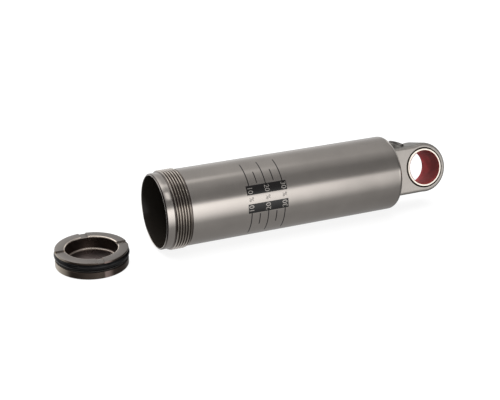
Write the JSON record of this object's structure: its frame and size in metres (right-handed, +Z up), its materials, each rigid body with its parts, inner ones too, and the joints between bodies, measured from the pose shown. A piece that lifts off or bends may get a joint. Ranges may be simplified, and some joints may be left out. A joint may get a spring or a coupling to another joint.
{
  "type": "rear shock damper body",
  "caption": "Closed-end rear shock damper tube with a threaded open mouth, a bushed mounting eyelet with a gas valve, and its slotted floating piston.",
  "frame": {"origin": "centre of the eyelet bore, on the tube's axis", "axes": "+X along the tube from its open mouth to the eyelet, +Z up from the bench, -Y to the front"},
  "size_m": [0.1543, 0.0299, 0.0286],
  "materials": {
    "tube_anodised": "hard anodised over fine turning",
    "eyelet_satin": "bead-blasted satin",
    "bush_steel": "ground",
    "liner_red": "low-friction polymer lining",
    "piston_gunmetal": "dark hard anodised, turned",
    "seal_rubber": "greased nitrile",
    "backup_ptfe": "filled polymer",
    "valve_brass": "turned",
    "valve_gasket_red": "moulded polymer",
    "valve_spring_steel": "drawn wire",
    "cap_black": "black anodised"
  },
  "bodies": {
    "root": {"damper_tube": "tube_anodised", "eyelet": "eyelet_satin", "eyelet_seal_ring": "seal_rubber", "bush_shell": "bush_steel", "bush_liner": "liner_red", "valve_core_nut": "valve_brass", "valve_core_barrel": "valve_brass", "valve_core_gasket": "valve_gasket_red"},
    "valve_pin": {"valve_core_pin": "valve_brass", "valve_core_cup": "valve_brass", "valve_core_cup_seal": "seal_rubber", "valve_core_spring": "valve_spring_steel"},
    "valve_cap": {"valve_cap": "cap_black", "valve_cap_o_ring": "seal_rubber"},
    "floating_piston": {"ifp_piston": "piston_gunmetal", "ifp_o_ring": "seal_rubber", "ifp_backup_ring": "backup_ptfe"}
  },
  "joints": [
    {"name": "ifp_lift", "type": "slide", "parent": "root", "child": "floating_piston", "axis": [0, 0, 1], "range_m": [0, 0.05]},
    {"name": "valve_cap_unscrew", "type": "slide", "parent": "root", "child": "valve_cap", "axis": [0.4321, 0.2817, 0.8567], "range_m": [0, 0.01]},
    {"name": "valve_pin_press", "type": "slide", "parent": "root", "child": "valve_pin", "axis": [-0.4321, -0.2817, -0.8567], "range_m": [0, 0.0012], "stiffness_N_per_m": 450, "springref_m": -0.003, "deforming": ["valve_core_spring"]}
  ]
}
